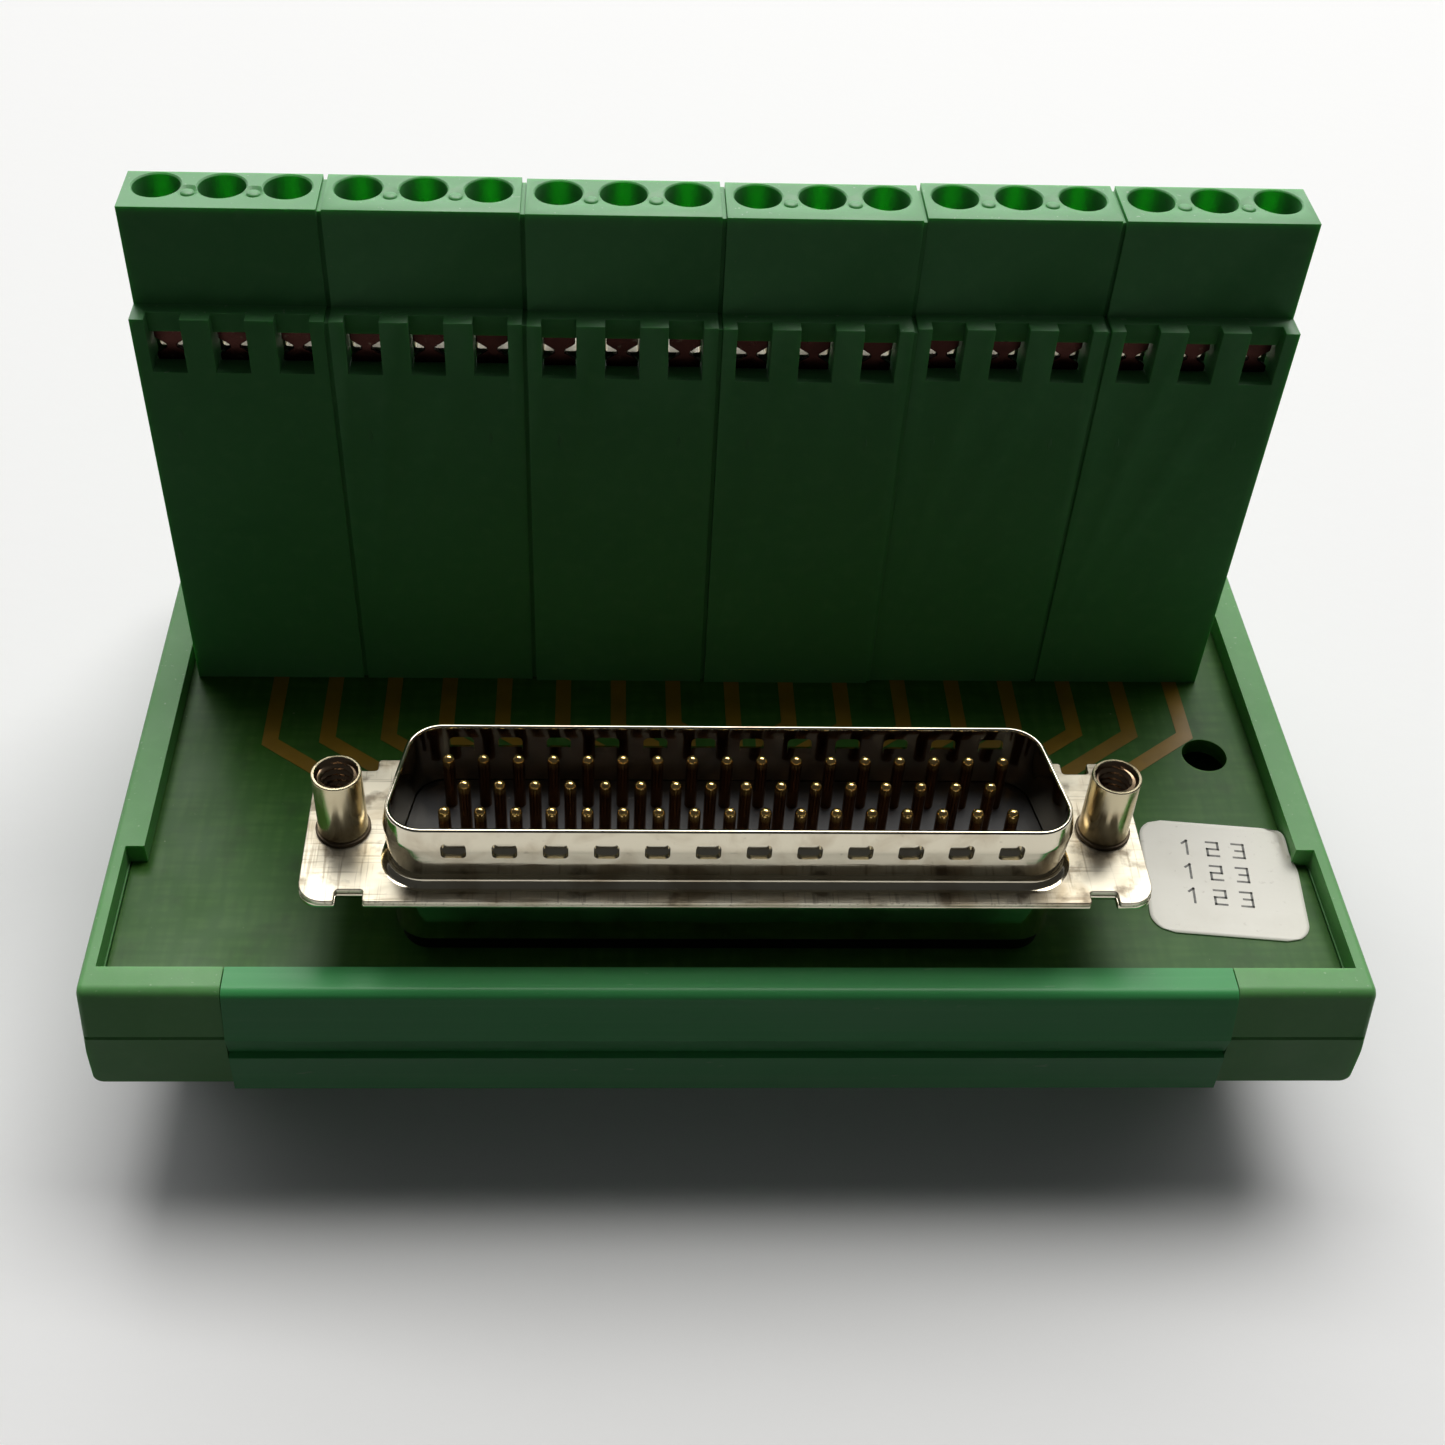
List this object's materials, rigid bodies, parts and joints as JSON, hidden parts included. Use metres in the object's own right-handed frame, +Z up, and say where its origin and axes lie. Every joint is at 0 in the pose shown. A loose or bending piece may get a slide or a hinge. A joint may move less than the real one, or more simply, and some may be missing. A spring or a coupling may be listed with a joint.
{
  "type": "connector interface module",
  "caption": "Rail-mounted interface module: a D-shaped pin connector on a board, wired to stepped three-tier screw terminals, in an open green tray base.",
  "frame": {"origin": "middle of the box on the plane that the rail feet stand on", "axes": "+X along the terminal row, +Y from the connector towards the wire side, +Z up from the rail"},
  "size_m": [0.1028, 0.077, 0.0667],
  "materials": {
    "green_profile": "satin extruded",
    "green_side": "satin moulded",
    "green_housing": "satin moulded",
    "board_laminate": "lacquered laminate",
    "label_paper": "matt paper",
    "tinned_shell": "tinned",
    "black_insulator": "satin moulded",
    "contact_plating": "plated",
    "post_plating": "plated",
    "cage_plating": "plated",
    "strip_copper": "bare alloy",
    "screw_steel": "plated"
  },
  "bodies": {
    "root": {"asset_label": "label_paper", "base_profile": "green_profile", "circuit_board": "board_laminate", "clamp_cages_1": "cage_plating", "clamp_cages_2": "cage_plating", "clamp_cages_3": "cage_plating", "clamp_cages_4": "cage_plating", "clamp_cages_5": "cage_plating", "clamp_cages_6": "cage_plating", "clamp_screws_1": "screw_steel", "clamp_screws_2": "screw_steel", "clamp_screws_3": "screw_steel", "clamp_screws_4": "screw_steel", "clamp_screws_5": "screw_steel", "clamp_screws_6": "screw_steel", "connector_front_shell": "tinned_shell", "connector_insulator": "black_insulator", "connector_rear_shell": "tinned_shell", "contact_strips_1": "strip_copper", "contact_strips_2": "strip_copper", "contact_strips_3": "strip_copper", "contact_strips_4": "strip_copper", "contact_strips_5": "strip_copper", "contact_strips_6": "strip_copper", "front_row_contacts": "contact_plating", "jack_post_left": "post_plating", "jack_post_right": "post_plating", "middle_row_contacts": "contact_plating", "post_lock_washers": "post_plating", "post_nuts": "post_plating", "rail_foot_left": "green_side", "rail_foot_right": "green_side", "rear_row_contacts": "contact_plating", "side_element_left": "green_side", "side_element_right": "green_side", "terminal_housing_1": "green_housing", "terminal_housing_2": "green_housing", "terminal_housing_3": "green_housing", "terminal_housing_4": "green_housing", "terminal_housing_5": "green_housing", "terminal_housing_6": "green_housing"}
  },
  "joints": []
}
